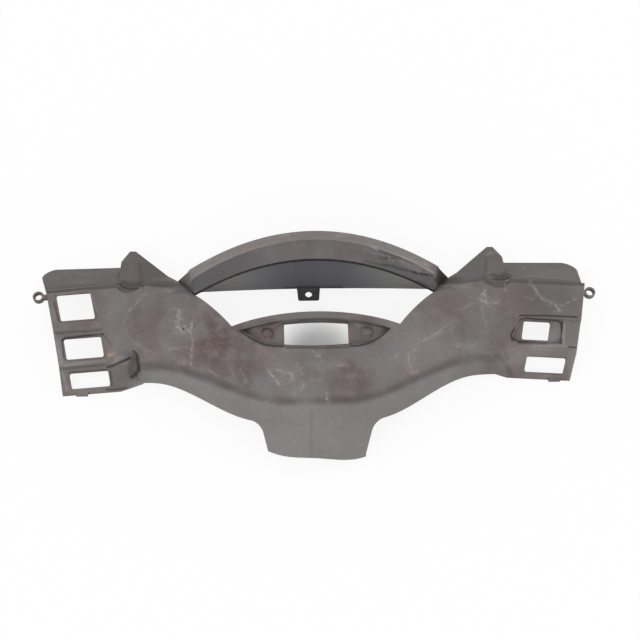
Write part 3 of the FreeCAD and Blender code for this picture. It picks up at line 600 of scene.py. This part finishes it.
def wear_and_highlights(spot):
    """Mask of scratches, painted highlights along edges, chips and scuffs, wandering a little and broken
    up.
    """
    place = spot.place
    clouds = {"Vector": place, "Scale": 1.0 / DRIFT_SIZE, "Detail": 2.0}
    drift = place.node("ShaderNodeTexNoise", None, clouds, "Color")
    spread = Vector((DRIFT_REACH, DRIFT_REACH, 0.0))
    drift = drift.vector("MULTIPLY_ADD", drift, 2.0 * spread, -spread)
    wandered = place.vector("ADD", place, drift)
    broken = place.noise(BREAK_SIZE, 3.0).rise(0.3, 0.68)
    smeared = place.noise(SMEAR_SIZE, 4.0).rise(0.4, 0.7)
    scored, smudged = strokes(wandered, SCRATCHES, (2.0, 0.5), (3.0, 3.0))
    # Painted highlights along edges
    highlit_edges, = strokes(place, EDGE_HIGHLIGHTS, (1.2, 0.5))
    chips = abs(spot.behind_crest - 4.0).rise(6.0, 1.0) * spot.on_hood
    chips = chips * place.noise(CHIP_SIZE, 2.0).rise(0.6, 0.72)
    scuffs = place.noise(SCUFF_SIZE, 5.0, 0.7).rise(0.62, 0.8) * spot.upward.rise(0.3, 0.7)
    worn_and_highlit = (scored * broken * SCRATCHES_SHOW).over(smudged * smeared * SMUDGES_SHOW)
    worn_and_highlit = worn_and_highlit.over(highlit_edges * (0.4 + broken * 0.4))
    return worn_and_highlit.over(chips * CHIPS_SHOW).over(scuffs * SCUFFS_SHOW)


def end_lip(spot, colour):
    """Pale lip along the right-hand end."""
    inward = RIGHT_END_X + (spot.y - MIDDLE_Y) * math.tan(math.radians(END_YAW)) - spot.x
    lip = inward.rise(0.6, 1.4) * inward.rise(3.2, 2.2)
    return (lip * END_LIP_SHOWS).tint(colour, PALE_PLASTIC)


def screw_tab(spot, colour):
    """Screw tab under the hood, in plastic that has not faded."""
    low = spot.z.rise(*TAB_TOP)
    within = spot.y.rise(*TAB_FAR) * spot.y.rise(*TAB_NEAR) * spot.side.rise(*TAB_SIDE)
    return (low * within).tint(colour, FRESH_PLASTIC)


def cover_plastic():
    """Faded dark plastic with stains, grime, scuffs and scratches, painted shade in its hollows, steps,
    crease and far sides, and painted light on its skirt, inner hood face and edges.
    """
    material, shader, start = new_material("cover_plastic")
    spot = survey(start)
    colour = faded(spot)
    for tones in (housing_shade, skirt_light_and_shade, hood_tones, streaked):
        colour = tones(spot, colour)

    # Painted shade in hollows, along the dark lines, on the hood's lip and in its corners, then rust
    reach = {"Distance": SHADE_REACH * MM}
    occlusion_shade = start.node("ShaderNodeAmbientOcclusion", {"samples": 12}, reach, "AO")
    colour = (occlusion_shade.rise(0.88, 0.4) * HOLLOW_SHADE_SHOWS).tint(colour, GRIME_AND_SHADE)
    shade_lined, = strokes(spot.place, SHADE_LINES, (1.0, 0.8))
    corners = patched(spot.place, SHADED_CORNERS) * spot.y.rise(*CORNERS_NEAR)
    darkest = (shade_lined * SHADE_LINES_SHOW).over(hood_lip_shade(spot) * LIP_SHADE_SHOWS).over(corners)
    colour = darkest.tint(colour, PIT_AND_SHADE_BLACK)
    rust, = strokes(spot.place, RUST_MARKS, (1.0, 1.2))
    colour = (rust * spot.specks.rise(0.3, 0.6)).tint(colour, RUST_STAIN)

    # Scratches, chips and scuffs, with the painted edge highlights
    worn_and_highlit = wear_and_highlights(spot)
    colour = (worn_and_highlit * WEAR_AND_HIGHLIGHTS_SHOW).tint(colour, SCUFFED_AND_HIGHLIT)
    colour = patched(spot.place, PITS).tint(colour, PIT_AND_SHADE_BLACK)
    colour = screw_tab(spot, end_lip(spot, colour))

    grain = spot.place.noise(GRAIN_SIZE, 2.0)
    height = grain * 0.08 + spot.specks * 0.15 - worn_and_highlit * 0.4 - shade_lined * 0.5
    relief = {"Strength": 0.2, "Distance": BUMP_HEIGHT * MM, "Height": height}
    bump = start.node("ShaderNodeBump", None, relief)
    roughness = 0.5 + spot.clouds * 0.14 + worn_and_highlit * 0.2 + shade_lined * 0.3
    shader.inputs["Specular IOR Level"].default_value = PLASTIC_SPECULAR
    feed(shader, Base_Color=colour, Roughness=roughness, Normal=bump)
    return material


def floor_card():
    """Pale card, seen by the camera as nearly white with a light shadow."""
    material, shader, start = new_material("floor_card")
    shader.inputs["Base Color"].default_value = CARD_WHITE
    shader.inputs["Roughness"].default_value = CARD_ROUGHNESS
    shader.inputs["Specular IOR Level"].default_value = CARD_SPECULAR
    lift = FLOOR_LIFT - patch(in_millimetres(start), *DEEP_SHADE)
    seen = start.node("ShaderNodeLightPath", output="Is Camera Ray")
    white = start.node("ShaderNodeEmission", None, {"Color": WHITE, "Strength": 1.0})
    mixed = start.node("ShaderNodeMixShader", None, {0: seen * lift, 1: start, 2: white})
    output = material.node_tree.nodes["Material Output"]
    material.node_tree.links.new(mixed.socket, output.inputs["Surface"])
    return material


def link(name, mesh):
    """Object at the origin that shows a mesh."""
    piece = bpy.data.objects.new(name, mesh)
    bpy.context.scene.collection.objects.link(piece)
    return piece


def cover_shell(material):
    """The moulding itself, with its facets joined and its curved skins smooth."""
    bm = bmesh.new()
    bm.from_mesh(cover_mesh)
    bmesh.ops.remove_doubles(bm, verts=bm.verts, dist=MERGE_GAP * MM)
    mesh = bpy.data.meshes.new("cover_shell")
    bm.to_mesh(mesh)
    bm.free()
    mesh.materials.clear()
    mesh.materials.append(material)
    mesh.shade_smooth()
    mesh.set_sharp_from_angle(angle=math.radians(SHARP_ANGLE))
    piece = link("cover_shell", mesh)
    flatten = piece.modifiers.new("flat_plates", "WEIGHTED_NORMAL")
    flatten.keep_sharp = True
    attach(piece, "root")
    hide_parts("handlebar_cover")
    return piece


def studio_floor(material):
    """Card that the part lies on."""
    bm = bmesh.new()
    bmesh.ops.create_grid(bm, x_segments=1, y_segments=1, size=FLOOR_HALF)
    mesh = bpy.data.meshes.new("studio_floor")
    bm.to_mesh(mesh)
    bm.free()
    mesh.materials.append(material)
    link("studio_floor", mesh)


def soft_sun(name, turn, height, strength):
    """Broad lamp that shines on the part from a turn and a height."""
    lamp = bpy.data.lights.new(name, "SUN")
    lamp.energy = strength
    lamp.angle = math.radians(LAMP_SOFTNESS)
    sun = bpy.data.objects.new(name, lamp)
    sun.rotation_mode = "QUATERNION"
    sun.rotation_quaternion = outward(turn, height).to_track_quat("Z", "Y")
    bpy.context.scene.collection.objects.link(sun)


def studio_sky(strength):
    """Even white light from all round, full white to the camera and in reflections."""
    world = bpy.data.worlds.new("studio_sky")
    world.use_nodes = True
    bpy.context.scene.world = world
    tree = world.node_tree
    background = tree.nodes["Background"]
    background.inputs["Color"].default_value = WHITE
    path = tree.nodes.new("ShaderNodeLightPath")
    seen = Value(tree, path.outputs["Is Camera Ray"]).over(Value(tree, path.outputs["Is Glossy Ray"]))
    tree.links.new((strength + seen * (1.0 - strength)).socket, background.inputs["Strength"])


def photo_camera():
    """Camera at the photograph's place."""
    right, up, back = view_axes()
    place = Matrix((right, up, back)).transposed().to_4x4()
    place.translation = (VIEW_TARGET + back * VIEW_DISTANCE) * MM
    lens = bpy.data.cameras.new("photo_camera")
    lens.sensor_width = SENSOR_WIDTH
    lens.lens = SENSOR_WIDTH * FOCAL_PIXELS / IMAGE_SIDE
    lens.shift_x = (IMAGE_SIDE / 2.0 - CENTRE_PIXEL) / IMAGE_SIDE
    camera = bpy.data.objects.new("photo_camera", lens)
    camera.matrix_world = place
    bpy.context.scene.collection.objects.link(camera)
    bpy.context.scene.camera = camera


cover_shell(cover_plastic())
studio_floor(floor_card())
studio_sky(SKY_STRENGTH)
for lamp_row in LAMPS:
    soft_sun(*lamp_row)
photo_camera()
bpy.context.scene.view_settings.view_transform = "Standard"
